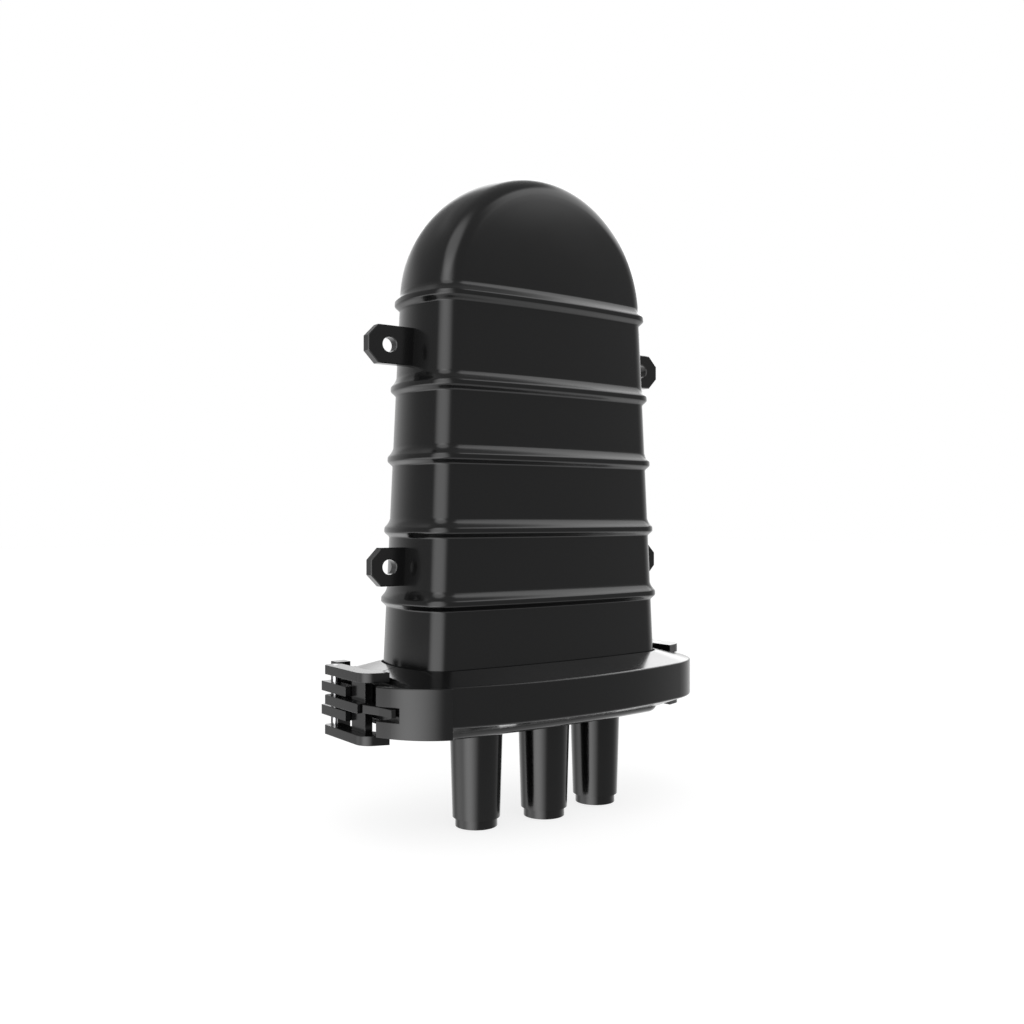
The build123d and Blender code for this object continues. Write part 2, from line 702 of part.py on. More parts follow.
def make_tray(k):
    """A splice tray: floor, rim, two winding drums and the hinge knuckle."""
    rear = tray_middle(k) + TRAY_DEPTH / 2
    front = tray_middle(k) - TRAY_DEPTH / 2
    floor = rear - TRAY_WALL
    body = tray_plate(front, rear) - tray_plate(front - OVER, floor, TRAY_WALL)
    middle_z = (TRAY_HIGH_Z + TRAY_LOW_Z) / 2
    for side in (-1, 1):
        z = middle_z + side * DRUM_HALF_GAP
        y = (front + DRUM_DROP + floor) / 2
        drum = cross_bar(0, y, z, DRUM_R, floor - front - DRUM_DROP, "y")
        body += drum - cross_bar(0, y, z, DRUM_R - TRAY_WALL, TRAY_DEPTH, "y")
        notch_x = side * ENTRY_X
        body -= block(
            notch_x - ENTRY_WIDE / 2, notch_x + ENTRY_WIDE / 2, front - OVER, floor,
            TRAY_LOW_Z - OVER, TRAY_LOW_Z + 2 * TRAY_WALL,
        )
    y = tray_middle(k)
    body += cross_bar(0, y, KNUCKLE_Z, KNUCKLE_R, 2 * KNUCKLE_HALF_X, "x")
    return body - cross_bar(0, y, KNUCKLE_Z, TRAY_PIN_D / 2, 4 * KNUCKLE_HALF_X, "x")


def sleeve_places(k):
    """Centres of the splice sleeves in tray k."""
    front = comb_front(k)
    middle_z = (TRAY_HIGH_Z + TRAY_LOW_Z) / 2
    span = (SLEEVE_COUNT - 1) / 2
    return [((i - span) * SLEEVE_PITCH, front + SLEEVE_SINK, middle_z) for i in range(SLEEVE_COUNT)]


def comb_front(k):
    """Y of the front of the splice holder in tray k."""
    return tray_middle(k) + TRAY_DEPTH / 2 - TRAY_WALL - COMB_BASE_T - COMB_H


def make_comb(k):
    """A splice holder: a thin base and two grooved bars."""
    rear = tray_middle(k) + TRAY_DEPTH / 2 - TRAY_WALL
    middle_z = (TRAY_HIGH_Z + TRAY_LOW_Z) / 2
    half = SLEEVE_COUNT * SLEEVE_PITCH / 2 + COMB_END
    span = COMB_SPAN / 2
    body = block(-half, half, rear - COMB_BASE_T, rear, middle_z - span, middle_z + span)
    for side in (-1, 1):
        z = middle_z + side * (span - COMB_BAR / 2)
        body += block(-half, half, comb_front(k), rear, z - COMB_BAR / 2, z + COMB_BAR / 2)
    for x, y, z in sleeve_places(k):
        body -= Pos(x, y, z) * Cylinder(SLEEVE_D / 2 + SLEEVE_GAP, 2 * SLEEVE_LEN)
    return body


def make_sleeves(k):
    """The splice sleeves lying in the holder of tray k."""
    return Compound([
        (Pos(x, y, z) * Cylinder(SLEEVE_D / 2, SLEEVE_LEN)).solid()
        for x, y, z in sleeve_places(k)
    ])


def make_tray_pins():
    """One hinge pin for each tray."""
    length = 2 * (KNUCKLE_HALF_X + LUG_GAP + LUG_T)
    return Compound([
        cross_bar(0, tray_middle(k), KNUCKLE_Z, TRAY_PIN_D / 2, length, "x").solid()
        for k in range(TRAY_COUNT)
    ])


def make_cover():
    """The flat cover on the front tray."""
    front = tray_middle(TRAY_COUNT - 1) - TRAY_DEPTH / 2
    return tray_plate(front - COVER_T, front)


def make_strap():
    """A strap round the trays and the bracket."""
    front = tray_middle(TRAY_COUNT - 1) - TRAY_DEPTH / 2 - COVER_T - STRAP_GAP
    rear = UPRIGHT_FRONT_Y + UPRIGHT_T + STRAP_GAP
    half = TRAY_WIDTH / 2 + STRAP_GAP
    low, high = STRAP_Z - STRAP_WIDE / 2, STRAP_Z + STRAP_WIDE / 2
    outer = block(-half - STRAP_T, half + STRAP_T, front - STRAP_T, rear + STRAP_T, low, high)
    outer = fillet(outer.edges().filter_by(Axis.Z), 2 * STRAP_T)
    inner = block(-half, half, front, rear, low - OVER, high + OVER)
    inner = fillet(inner.edges().filter_by(Axis.Z), STRAP_GAP)
    return outer - inner


def make_basket():
    """The slack basket on the back of the bracket."""
    front = UPRIGHT_FRONT_Y + UPRIGHT_T
    rear = front + BASKET_DEPTH
    body = block(-BASKET_HALF_X, BASKET_HALF_X, front, rear, BASKET_LOW_Z, BASKET_HIGH_Z)
    body = fillet(body.edges().filter_by(Axis.Y), BASKET_CORNER_R)
    inner = block(
        -BASKET_HALF_X + BASKET_WALL, BASKET_HALF_X - BASKET_WALL, front + BASKET_WALL, rear + OVER,
        BASKET_LOW_Z + BASKET_WALL, BASKET_HIGH_Z - BASKET_WALL,
    )
    inner = fillet(inner.edges().filter_by(Axis.Y), BASKET_CORNER_R - BASKET_WALL)
    return body - inner


def make_anchor(x):
    """A bent strip on the bracket's foot that holds a cable's strength member."""
    half = ANCHOR_WIDE / 2
    back = FOOT_FRONT_Y + ANCHOR_T
    body = block(x - half, x + half, FOOT_FRONT_Y, back, foot_top_z, foot_top_z + ANCHOR_TALL)
    body += block(x - half, x + half, FOOT_FRONT_Y, FOOT_FRONT_Y + ANCHOR_FOOT, foot_top_z, foot_top_z + ANCHOR_T)
    body -= cross_bar(x, FOOT_FRONT_Y, foot_top_z + ANCHOR_SCREW_UP, ANCHOR_SCREW_D / 2, 2 * ANCHOR_FOOT, "y")
    return body - post(x, rivet_y(), RIVET_D / 2, foot_top_z - OVER, foot_top_z + ANCHOR_T + OVER)


def make_jaw(x):
    """The jaw plate in front of an anchor."""
    half = ANCHOR_WIDE / 2
    z = foot_top_z + ANCHOR_SCREW_UP
    body = block(x - half, x + half, FOOT_FRONT_Y - JAW_T, FOOT_FRONT_Y, z - JAW_TALL / 2, z + JAW_TALL / 2)
    return body - cross_bar(x, FOOT_FRONT_Y, z, ANCHOR_SCREW_D / 2, 2 * ANCHOR_FOOT, "y")


def make_anchor_screws():
    """The screws that close the jaws on the anchors."""
    z = foot_top_z + ANCHOR_SCREW_UP
    face = FOOT_FRONT_Y - JAW_T
    length = JAW_T + 2 * ANCHOR_T
    screws = []
    for x in anchor_places():
        shaft = cross_bar(x, face + length / 2, z, ANCHOR_SCREW_D / 2, length, "y")
        head = cross_bar(x, face - ANCHOR_HEAD_T / 2, z, ANCHOR_HEAD_D / 2, ANCHOR_HEAD_T, "y")
        screws.append((shaft + head).solid())
    return Compound(screws)


def make_rivets():
    """The rivets that fix the anchors to the bracket's foot."""
    top = foot_top_z + ANCHOR_T
    return Compound([
        (
            post(x, rivet_y(), RIVET_D / 2, foot_low_z, top)
            + post(x, rivet_y(), RIVET_HEAD_D / 2, top, top + RIVET_HEAD_T)
        ).solid()
        for x in anchor_places()
    ])


def make_bracket_screws():
    """The screws that fix the bracket's foot to the base."""
    return Compound([
        (
            post(side * SCREW_X, y, SCREW_D / 2, FLOOR_Z + SCREW_TIP_GAP, foot_top_z)
            + post(side * SCREW_X, y, SCREW_HEAD_D / 2, foot_top_z, foot_top_z + SCREW_HEAD_T)
        ).solid()
        for side in (-1, 1)
        for y in SCREW_ROWS
    ])


def make_all():
    """Every piece of the closure by its name."""
    pieces = {
        "dome_cover": make_dome(),
        "base_body": make_base(),
        "seal_gasket": seal_ring(0, 0),
        "clamp_rear_half": make_rear_half(),
        "clamp_front_half": make_front_half(),
        "clamp_front_end": make_front_end(),
        "hinge_pin": pin_through(HINGE_X, 0, HINGE_PIN_D),
        "latch_lever": make_lever(),
        "latch_pin": pin_through(LATCH_PIN_X, LATCH_PIN_Y, LATCH_PIN_D),
        "tray_bracket": make_bracket(),
        "bracket_screws": make_bracket_screws(),
        "anchor_screws": make_anchor_screws(),
        "anchor_rivets": make_rivets(),
        "tray_hinge_pins": make_tray_pins(),
        "tray_cover": make_cover(),
        "tray_strap": make_strap(),
        "slack_basket": make_basket(),
    }
    for name, x in zip(("left", "centre", "right"), anchor_places()):
        pieces["cable_anchor_" + name] = make_anchor(x)
        pieces["anchor_jaw_" + name] = make_jaw(x)
    for k in range(TRAY_COUNT):
        number = str(k + 1)
        pieces["splice_tray_" + number] = make_tray(k)
        pieces["splice_holder_" + number] = make_comb(k)
        pieces["splice_sleeves_" + number] = make_sleeves(k)
    return pieces


def main():
    """Write one file for each piece."""
    os.makedirs("parts", exist_ok=True)
    for name, shape in make_all().items():
        export_step(shape, "parts/" + name + ".step")


main()
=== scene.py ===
# %% [markdown]
# Fibre splice closure. A black moulded dome stands on a clamp ring and a dish with three cable ports. The
# imported CAD part gives every place and size. This script adds the looks: finishes, a finer dome and light.

# %% The frame
import json
import math

import bmesh
import bpy
import numpy as np
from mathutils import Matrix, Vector


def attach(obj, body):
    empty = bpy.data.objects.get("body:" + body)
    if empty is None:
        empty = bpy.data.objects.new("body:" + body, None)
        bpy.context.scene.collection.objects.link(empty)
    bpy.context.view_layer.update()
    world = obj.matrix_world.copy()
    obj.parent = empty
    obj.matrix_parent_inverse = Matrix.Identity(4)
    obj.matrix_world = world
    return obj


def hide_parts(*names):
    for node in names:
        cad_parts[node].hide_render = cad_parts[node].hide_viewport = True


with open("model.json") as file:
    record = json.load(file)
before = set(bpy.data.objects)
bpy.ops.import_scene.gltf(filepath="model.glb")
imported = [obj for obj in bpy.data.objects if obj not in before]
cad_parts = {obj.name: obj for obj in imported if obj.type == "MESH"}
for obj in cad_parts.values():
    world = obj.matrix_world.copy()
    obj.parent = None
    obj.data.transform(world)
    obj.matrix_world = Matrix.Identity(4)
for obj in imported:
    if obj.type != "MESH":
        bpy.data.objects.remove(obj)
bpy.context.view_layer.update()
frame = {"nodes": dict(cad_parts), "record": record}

scene = bpy.context.scene
MM = 0.001

# %% [markdown]
# The closure is black polypropylene, glossy where the mould was polished, with grey trays and clear lids
# inside. A photograph or a painted texture could give these finishes, but both need a flat map of every
# piece. Here a finish is one shader with a little drift in its roughness and a fine grain in its bump. Both
# are read from the place of a point in the object, so they fit any piece.

# %% Moulded plastic
DRIFT_SCALE = 25.0
DRIFT_DETAIL = 2.0
DRIFT = 0.05
GRAIN_DETAIL = 3.0
BUMP_DEPTH = 0.05


def plastic(name, colour, roughness, ior, grain=0.0, grain_scale=900.0, edge=0.0):
    """A moulded plastic.

    Its roughness drifts by DRIFT over about 40 mm. The edge is the radius, in millimetres, with which sharp
    corners catch the light.
    """
    material = bpy.data.materials.new(name)
    material.use_nodes = True
    nodes = material.node_tree.nodes
    links = material.node_tree.links
    shader = nodes["Principled BSDF"]
    shader.inputs["Base Color"].default_value = (*colour, 1.0)
    shader.inputs["IOR"].default_value = ior
    place = nodes.new("ShaderNodeTexCoord")
    drift = nodes.new("ShaderNodeTexNoise")
    drift.inputs["Scale"].default_value = DRIFT_SCALE
    drift.inputs["Detail"].default_value = DRIFT_DETAIL
    links.new(place.outputs["Object"], drift.inputs["Vector"])
    spread = nodes.new("ShaderNodeMapRange")
    spread.inputs["To Min"].default_value = roughness - DRIFT
    spread.inputs["To Max"].default_value = roughness + DRIFT
    links.new(drift.outputs["Fac"], spread.inputs["Value"])
    links.new(spread.outputs["Result"], shader.inputs["Roughness"])
    if grain > 0:
        fine = nodes.new("ShaderNodeTexNoise")
        fine.inputs["Scale"].default_value = grain_scale
        fine.inputs["Detail"].default_value = GRAIN_DETAIL
        links.new(place.outputs["Object"], fine.inputs["Vector"])
        bump = nodes.new("ShaderNodeBump")
        bump.inputs["Strength"].default_value = grain
        bump.inputs["Distance"].default_value = BUMP_DEPTH * MM
        links.new(fine.outputs["Fac"], bump.inputs["Height"])
        links.new(bump.outputs["Normal"], shader.inputs["Normal"])
        if edge > 0:
            rounding = nodes.new("ShaderNodeBevel")
            rounding.inputs["Radius"].default_value = edge * MM
            links.new(rounding.outputs["Normal"], bump.inputs["Normal"])
    return material


def let_light_through(material, share):
    """Make a plastic clear, so that this share of the light goes through it."""
    shader = material.node_tree.nodes["Principled BSDF"]
    shader.inputs["Transmission Weight"].default_value = share


print("roughness drifts by", DRIFT)

# %% [markdown]
# Pins, screws, rivets and jaws are turned and plated steel. A plain metal shader would look like a mirror,
# while a turned pin has fine lines round it. They could be cut into the mesh, but are finer than a hair, so a
# noise that is squeezed along the upright axis gives them as a bump.

# %% Turned steel
STEEL_IOR = 1.5
LINE_STRETCH = (1.0, 1.0, 12.0)
LINE_SCALE = 400.0
LINE_BUMP = 0.08


def metal(name, colour, roughness):
    """A turned and plated metal with fine lines across the upright axis."""
    material = plastic(name, colour, roughness, STEEL_IOR)
    nodes = material.node_tree.nodes
    links = material.node_tree.links
    shader = nodes["Principled BSDF"]
    shader.inputs["Metallic"].default_value = 1.0
    place = nodes.new("ShaderNodeTexCoord")
    turn = nodes.new("ShaderNodeMapping")
    turn.inputs["Scale"].default_value = LINE_STRETCH
    lines = nodes.new("ShaderNodeTexNoise")
    lines.inputs["Scale"].default_value = LINE_SCALE
    links.new(place.outputs["Object"], turn.inputs["Vector"])
    links.new(turn.outputs["Vector"], lines.inputs["Vector"])
    bump = nodes.new("ShaderNodeBump")
    bump.inputs["Strength"].default_value = LINE_BUMP
    bump.inputs["Distance"].default_value = BUMP_DEPTH * MM
    links.new(lines.outputs["Fac"], bump.inputs["Height"])
    links.new(bump.outputs["Normal"], shader.inputs["Normal"])
    return material


print("steel lines:", LINE_SCALE, "to the metre before the squeeze")

# %% [markdown]
# Now each finish of this closure gets its numbers. The dome and the clamp are the same gloss black, but the
# clamp's plates have sharp edges in the CAD part. They could be bevelled in the mesh, but the shader can
# round what the light catches and leave the shape alone. The seal is matt rubber, the strap a rough woven
# band. Each CAD piece names its finish in the record.

# %% Finishes of this closure
GLOSS_BLACK = (0.006, 0.006, 0.0062)
GLOSS = 0.18
PLASTIC_IOR = 1.45
cover_black = plastic("cover_black", GLOSS_BLACK, GLOSS, PLASTIC_IOR, grain=0.03)
clamp_black = plastic("clamp_black", GLOSS_BLACK, GLOSS, PLASTIC_IOR, grain=0.03, edge=0.6)
seal_black = plastic("seal_black", (0.012, 0.012, 0.012), roughness=0.6, ior=1.4, grain=0.2)
inner_grey = plastic("inner_grey", (0.5, 0.51, 0.52), roughness=0.4, ior=PLASTIC_IOR, grain=0.05)
steel = metal("steel", (0.56, 0.56, 0.57), roughness=0.28)
strap_black = plastic(
    "strap_black", (0.015, 0.015, 0.016), roughness=0.9, ior=1.3, grain=0.8, grain_scale=2500.0
)
cover_clear = plastic("cover_clear", (0.8, 0.83, 0.85), roughness=0.12, ior=1.5)
let_light_through(cover_clear, 0.9)
sleeve_clear = plastic("sleeve_clear", (0.75, 0.78, 0.8), roughness=0.2, ior=PLASTIC_IOR)
let_light_through(sleeve_clear, 0.7)

BY_SLOT = {
    "cover_black": cover_black,
    "clamp_black": clamp_black,
    "seal_black": seal_black,
    "inner_grey": inner_grey,
    "steel": steel,
    "strap_black": strap_black,
    "cover_clear": cover_clear,
    "sleeve_clear": sleeve_clear,
}
for part in frame["record"]["subparts"]:
    node = frame["nodes"][part["node"]]
    node.data.materials.clear()
    node.data.materials.append(BY_SLOT[part["material_slot"]])

# %% [markdown]
# The dome is one moulding: a tapered wall with a round top, five ribs, four ears and a flange at the foot.
# It could be cut from boxes and bevelled, but the highlights along its edges then break up. Here every height
# has an outline worked out from arcs, and the outlines are joined in a grid, so light runs evenly over it.
# The first step is a quarter of one outline. Three arcs that touch give the flat front, the rounded corner
# and the end, and mirroring the quarter twice gives the whole loop.

# %% Outline of a moulding at one height
FACE_SHARE = 0.5
CORNER_SHARE = 0.78
FACE_POINTS = 19
CORNER_POINTS = 17
END_POINTS = 15
quarter_steps = np.concatenate([
    np.linspace(0.0, FACE_SHARE, FACE_POINTS)[:-1],
    np.linspace(FACE_SHARE, CORNER_SHARE, CORNER_POINTS)[:-1],
    np.linspace(CORNER_SHARE, 1.0, END_POINTS),
])


def quarter_outline(half_x, half_y, end_sag, face_sag, corner, q):
    """A quarter of a bulged rectangle, from the middle of its long side (q 0) to the middle of its end (q 1).

    Two wide arcs are joined by a corner arc that touches both. A point is its arc's centre plus the arc's
    radius times the direction of an angle, and the angle runs evenly along each arc.
    """
    face_r = ((half_x - end_sag) ** 2 + face_sag**2) / (2 * face_sag)
    end_r = ((half_y - face_sag) ** 2 + end_sag**2) / (2 * end_sag)
    face_c = half_y - face_r
    end_c = half_x - end_r
    near = face_r - corner
    far = end_r - corner
    apart = np.hypot(end_c, face_c)
    along = (near**2 - far**2 + apart**2) / (2 * apart)
    across = np.sqrt(near**2 - along**2)
    corner_x = (along * end_c - across * face_c) / apart
    corner_y = face_c + (-along * face_c - across * end_c) / apart
    first = np.arctan2(corner_y - face_c, corner_x)
    last = np.arctan2(corner_y, corner_x - end_c)
    a = np.pi / 2 + (first - np.pi / 2) * q / FACE_SHARE
    b = first + (last - first) * (q - FACE_SHARE) / (CORNER_SHARE - FACE_SHARE)
    c = last * (1.0 - q) / (1.0 - CORNER_SHARE)
    on_face = q <= FACE_SHARE
    on_end = q >= CORNER_SHARE
    arcs = [
        (face_r * np.cos(a), face_c + face_r * np.sin(a)),
        (end_c + end_r * np.cos(c), end_r * np.sin(c)),
        (corner_x + corner * np.cos(b), corner_y + corner * np.sin(b)),
    ]
    return tuple(np.where(on_face, arcs[0][k], np.where(on_end, arcs[1][k], arcs[2][k])) for k in (0, 1))


def full_loop(x, y):
    """Mirror a quarter into a closed loop: front middle, right end, back middle, left end."""
    front_right = np.stack([x, -y], -1)
    back_right = np.stack([x, y], -1)[..., -2::-1, :]
    back_left = np.stack([-x, y], -1)[..., 1:, :]
    front_left = np.stack([-x, -y], -1)[..., -2:0:-1, :]
    return np.concatenate([front_right, back_right, back_left, front_left], axis=-2)


print("points in a quarter outline:", len(quarter_steps))

# %% [markdown]
# The real dome narrows a little towards the top, so that it slips out of its mould, and ends in a half round
# as seen from the front. The taper could be had by scaling a mesh, but then the corners would shrink as well.
# Here the outline is worked out anew at each height, with the same corner all the way up.

# %% Size of the dome at each height
DOME_FOOT = -124.0
DOME_TOP = 178.5
DOME_HALF = (92.5, 38.0)
DOME_TAPER = (0.044, 0.018)
DOME_SAGS = (8.0, 4.7)
DOME_CORNER = 14.5
ARCH_Z = (DOME_TOP - DOME_HALF[0] - DOME_TAPER[0] * DOME_FOOT) / (1.0 - DOME_TAPER[0])
JOIN_RISE = 10.0
JOIN_Z = ARCH_Z + JOIN_RISE
SLIDE_END = 0.45


def dome_quarter(z, inset):
    """The dome's quarter outline at heights z (a column), moved inwards by inset.

    Up to the arch it is the tapered outline. Above it the outline turns about a cross axis, so a point at
    radius r on the arch's section lies at x = sqrt(r^2 - h^2) when it has risen by h. The points on the flat
    front slide along it meanwhile, up to the step SLIDE_END, so that the first one stays at x = 0.
    """
    rise = np.minimum(z, ARCH_Z) - DOME_FOOT
    half_x = DOME_HALF[0] - DOME_TAPER[0] * rise - inset
    half_y = DOME_HALF[1] - DOME_TAPER[1] * rise - inset
    h = np.maximum(z - ARCH_Z, 0.0)
    face_r = ((half_x - DOME_SAGS[0]) ** 2 + DOME_SAGS[1] ** 2) / (2 * DOME_SAGS[1])
    _, knee = quarter_outline(half_x, half_y, *DOME_SAGS, DOME_CORNER, np.array([FACE_SHARE]))
    full_turn = np.arccos((knee - half_y + face_r) / face_r)
    start = FACE_SHARE * np.arcsin(h / face_r) / full_turn
    s = quarter_steps + start * np.maximum(0.0, 1.0 - quarter_steps / SLIDE_END)
    r, y = quarter_outline(half_x, half_y, *DOME_SAGS, DOME_CORNER, s)
    return np.sqrt(np.maximum(r**2 - h**2, 0.0)), y, r


print("the round top starts at", round(ARCH_Z, 1), "mm and ends at", DOME_TOP, "mm")

# %% [markdown]
# Five ribs run round the dome and stiffen its wall. Each could be a bent tube joined to the wall, but the
# joint would show as a hard line. In the mould a rib flows out of the wall, so it is drawn as an offset of
# the wall: a short profile says how far out a point stands at a given height above or below the crest.

# %% Profile of a rib
RIB_CRESTS = np.array([-85.8, -43.6, -0.5, 42.4, 94.8])
RIB_UP = np.array([-5.4, -4.6, -4.1, -1.9, -1.3, 0.0, 1.3, 1.7, 3.4, 5.0, 6.8, 8.2])
RIB_OUT = np.array([0.0, 0.0, 0.2, 2.75, 3.18, 3.2, 3.18, 2.95, 1.5, 0.55, 0.0, 0.0])
ROUNDING_REACH = 0.45
ROUNDING_SAMPLES = 7


def rib_offset(z):
    """How far the wall stands out at height z: a steep lower flank, a round crest and a hollow upper flank.

    The drawn profile is rounded by a running mean over twice ROUNDING_REACH.
    """
    spread = np.linspace(-ROUNDING_REACH, ROUNDING_REACH, ROUNDING_SAMPLES)
    above = z[..., None, None] - RIB_CRESTS[:, None] + spread
    return np.interp(above, RIB_UP, RIB_OUT).mean(-1).sum(-1)


print("ribs:", len(RIB_CRESTS), "of", round(float(rib_offset(RIB_CRESTS).max()), 2), "mm")

# %% [markdown]
# At its foot the dome has a flange, which the clamp ring presses on to the base. It follows the ring's
# rounder outline, not the dome's. It could be a separate plate pushed into the wall, but as rows of the same
# grid it leaves no gap and no doubled face where the two meet. Its rim is softened by moving the first and
# the last row in a little.

# %% Flange at the dome's foot
RING_HALF = (122.3, 66.3)
RING_SAGS = (23.9, 14.6)
RING_CORNER = 46.0
RING_MID = -141.15
FLANGE_INSET = 11.9
FLANGE_THICK = 5.5
FLANGE_TOP = RING_MID + FLANGE_THICK
FLANGE_EDGE = 0.4


def ring_loop(inset):
    """The clamp ring's whole outline, moved inwards by inset."""
    return full_loop(*quarter_outline(
        RING_HALF[0] - inset, RING_HALF[1] - inset, *RING_SAGS, RING_CORNER - inset, quarter_steps
    ))


def at_height(loop, z):
    """A flat loop set at height z."""
    return np.concatenate([loop, np.full((*loop.shape[:-1], 1), z)], axis=-1)


flange = ring_loop(FLANGE_INSET)
flange_in = ring_loop(FLANGE_INSET + FLANGE_EDGE)
flange_rows = np.stack([
    at_height(flange_in, RING_MID),
    at_height(flange, RING_MID + FLANGE_EDGE),
    at_height(flange, FLANGE_TOP - FLANGE_EDGE),
    at_height(flange_in, FLANGE_TOP),
])
print("the flange is", FLANGE_THICK, "mm thick, in", len(flange_rows), "rows")

# %% [markdown]
# Light on a rib changes within a millimetre, and on the plain wall hardly at all. Rows could be spread
# evenly, but then the ribs would be coarse or the wall needlessly heavy. So rows stand close together at the
# ribs and wide apart elsewhere, and none is so near another that it makes a sliver.

# %% Heights of the wall's rows
RIB_FROM = -6.0
RIB_FINE_TO = 3.2
RIB_TO = 8.4
FINE_STEP = 0.3
COARSE_STEP = 0.55
PLAIN_STEP = 9.0
ROOM_BY_RIB = 2.0
ROOM_BY_JOIN = 0.2
LEAST_STEP = 0.05
around_crest = np.concatenate([
    np.arange(RIB_FROM, RIB_FINE_TO, FINE_STEP),
    np.arange(RIB_FINE_TO, RIB_TO, COARSE_STEP),
])
rib_rows = (RIB_CRESTS[:, None] + around_crest).ravel()
plain_rows = np.arange(FLANGE_TOP, JOIN_Z, PLAIN_STEP)
close = np.abs(plain_rows[:, None] - rib_rows[None, :]).min(-1) < ROOM_BY_RIB
on_wall = (rib_rows > FLANGE_TOP) & (rib_rows < JOIN_Z - ROOM_BY_JOIN)
wall_z = np.concatenate([plain_rows[~close], rib_rows[on_wall], [FLANGE_TOP, ARCH_Z, JOIN_Z]])
wall_z = np.sort(wall_z)
wall_z = wall_z[np.concatenate([[True], np.diff(wall_z) > LEAST_STEP])]
print("rows of the outer wall:", len(wall_z))

# %% [markdown]
# The wall is a shell about 3.5 mm thick. A Solidify modifier could thicken a single skin, but it would carry
# the ribs through to the inside, and the real inside is plain. So the inside, the flange and the outside are
# rows of one grid. The outside's points are pushed out, square to the outline, by the profile of the ribs.

# %% Walls of the dome, inside and outside
DOME_WALL = 3.5
INNER_Z = np.array([JOIN_Z, ARCH_Z, 20.0, -60.0, RING_MID])


def stack_rows(rows, heights):
    """Give each row of flat points its height."""
    return np.concatenate([rows, np.broadcast_to(heights[:, None, None], (*rows.shape[:2], 1))], -1)


outer_x, outer_y, outer_r = dome_quarter(wall_z[:, None], 0.0)
outer = full_loop(outer_x, outer_y)
tangent = np.roll(outer, -1, axis=1) - np.roll(outer, 1, axis=1)
outward = np.stack([tangent[..., 1], -tangent[..., 0]], -1)
outward /= np.linalg.norm(outward, axis=-1, keepdims=True)
outer = stack_rows(outer + outward * rib_offset(wall_z)[:, None, None], wall_z)
inner_x, inner_y, inner_r = dome_quarter(INNER_Z[:, None], DOME_WALL)
inner = stack_rows(full_loop(inner_x, inner_y), INNER_Z)
shell = np.concatenate([inner, flange_rows, outer])
columns = shell.shape[1]
print("dome wall grid:", shell.shape[0], "rows of", columns)

# %% [markdown]
# The top is half a turn of the wall's own section about a line that runs from front to back. Rows stacked by
# height would crowd together near the crown, where the wall lies almost flat. Rows that turn with the arch
# stay evenly apart, and no point of the crown is a pole where triangles meet.

# %% Round top of the dome
ARCH_STEPS = 96


def arch_grid(radius, y):
    """The turned top: each profile point goes round the cross axis from the right join to the left join.

    A point at radius r starts at the angle whose sine is (join height)/r and ends at its mirror image.
    """
    profile_r = np.concatenate([radius, radius[-2::-1]])
    profile_y = np.concatenate([-y, y[-2::-1]])
    start = np.arcsin(np.clip((JOIN_Z - ARCH_Z) / profile_r, -1.0, 1.0))
    turn = start + (np.pi - 2 * start) * np.linspace(0.0, 1.0, ARCH_STEPS + 1)[:, None]
    height = ARCH_Z + profile_r * np.sin(turn)
    return np.stack([profile_r * np.cos(turn), np.broadcast_to(profile_y, turn.shape), height], -1)


outer_top = arch_grid(outer_r[-1], outer_y[-1])
inner_top = arch_grid(inner_r[0], inner_y[0])
print("round top grid:", outer_top.shape[0], "rows of", outer_top.shape[1])

# %% [markdown]
# Four flat ears with a bolt hole fix the closure to a wall or a pole. The upper ones reach a little further
# out. A plate with a boolean hole would do, but booleans leave long thin faces round the hole. Here each ear
# is a closed band that runs from the hole over the front, round the outer edge and back, so the hole is there
# from the start and both rims are softly rounded.

# %% Outline of a fixing ear
SIDE_STEPS = 8


def inset_polygon(corners, by):
    """Move every side of a convex polygon inwards by one distance and cross neighbouring sides again."""
    ahead = np.roll(corners, -1, axis=0) - corners
    inward = np.stack([-ahead[:, 1], ahead[:, 0]], -1) / np.linalg.norm(ahead, axis=1, keepdims=True)
    base = corners + inward * by
    before_base = np.roll(base, 1, axis=0)
    before_dir = np.roll(ahead, 1, axis=0)
    gap = base - before_base
    cross = before_dir[:, 0] * ahead[:, 1] - before_dir[:, 1] * ahead[:, 0]
    t = (gap[:, 0] * ahead[:, 1] - gap[:, 1] * ahead[:, 0]) / cross
    return before_base + before_dir * t[:, None]


def walk(corners):
    """Points along a polygon: each side is cut into SIDE_STEPS equal parts."""
    t = np.linspace(0.0, 1.0, SIDE_STEPS + 1)[:-1, None]
    return np.concatenate([a + (b - a) * t for a, b in zip(corners, np.roll(corners, -1, axis=0))])


print("each side of an ear is cut into", SIDE_STEPS, "parts")

# %% [markdown]
# An ear's outline has six corners: two at the root, hidden in the wall, and four round the tip. The rows of
# the band are copies of the outline and of the hole, each at its own depth, so two rows 0.5 mm apart make a
# softened rim. A bevel modifier could do the same, but would also cut into the root, where no edge shows.

# %% One ear
EAR_X = 100.0
EAR_Z = 65.0
EAR_THICK = 6.2
EAR_HALF_TALL = 11.3
EAR_TIP_HALF = 4.4
EAR_CHAMFER = 6.8
EAR_REACH = {1: 14.2, -1: 12.3}
EAR_HOLE_R = 4.5
EAR_EDGE = 0.5
EAR_ROOT = 2.0


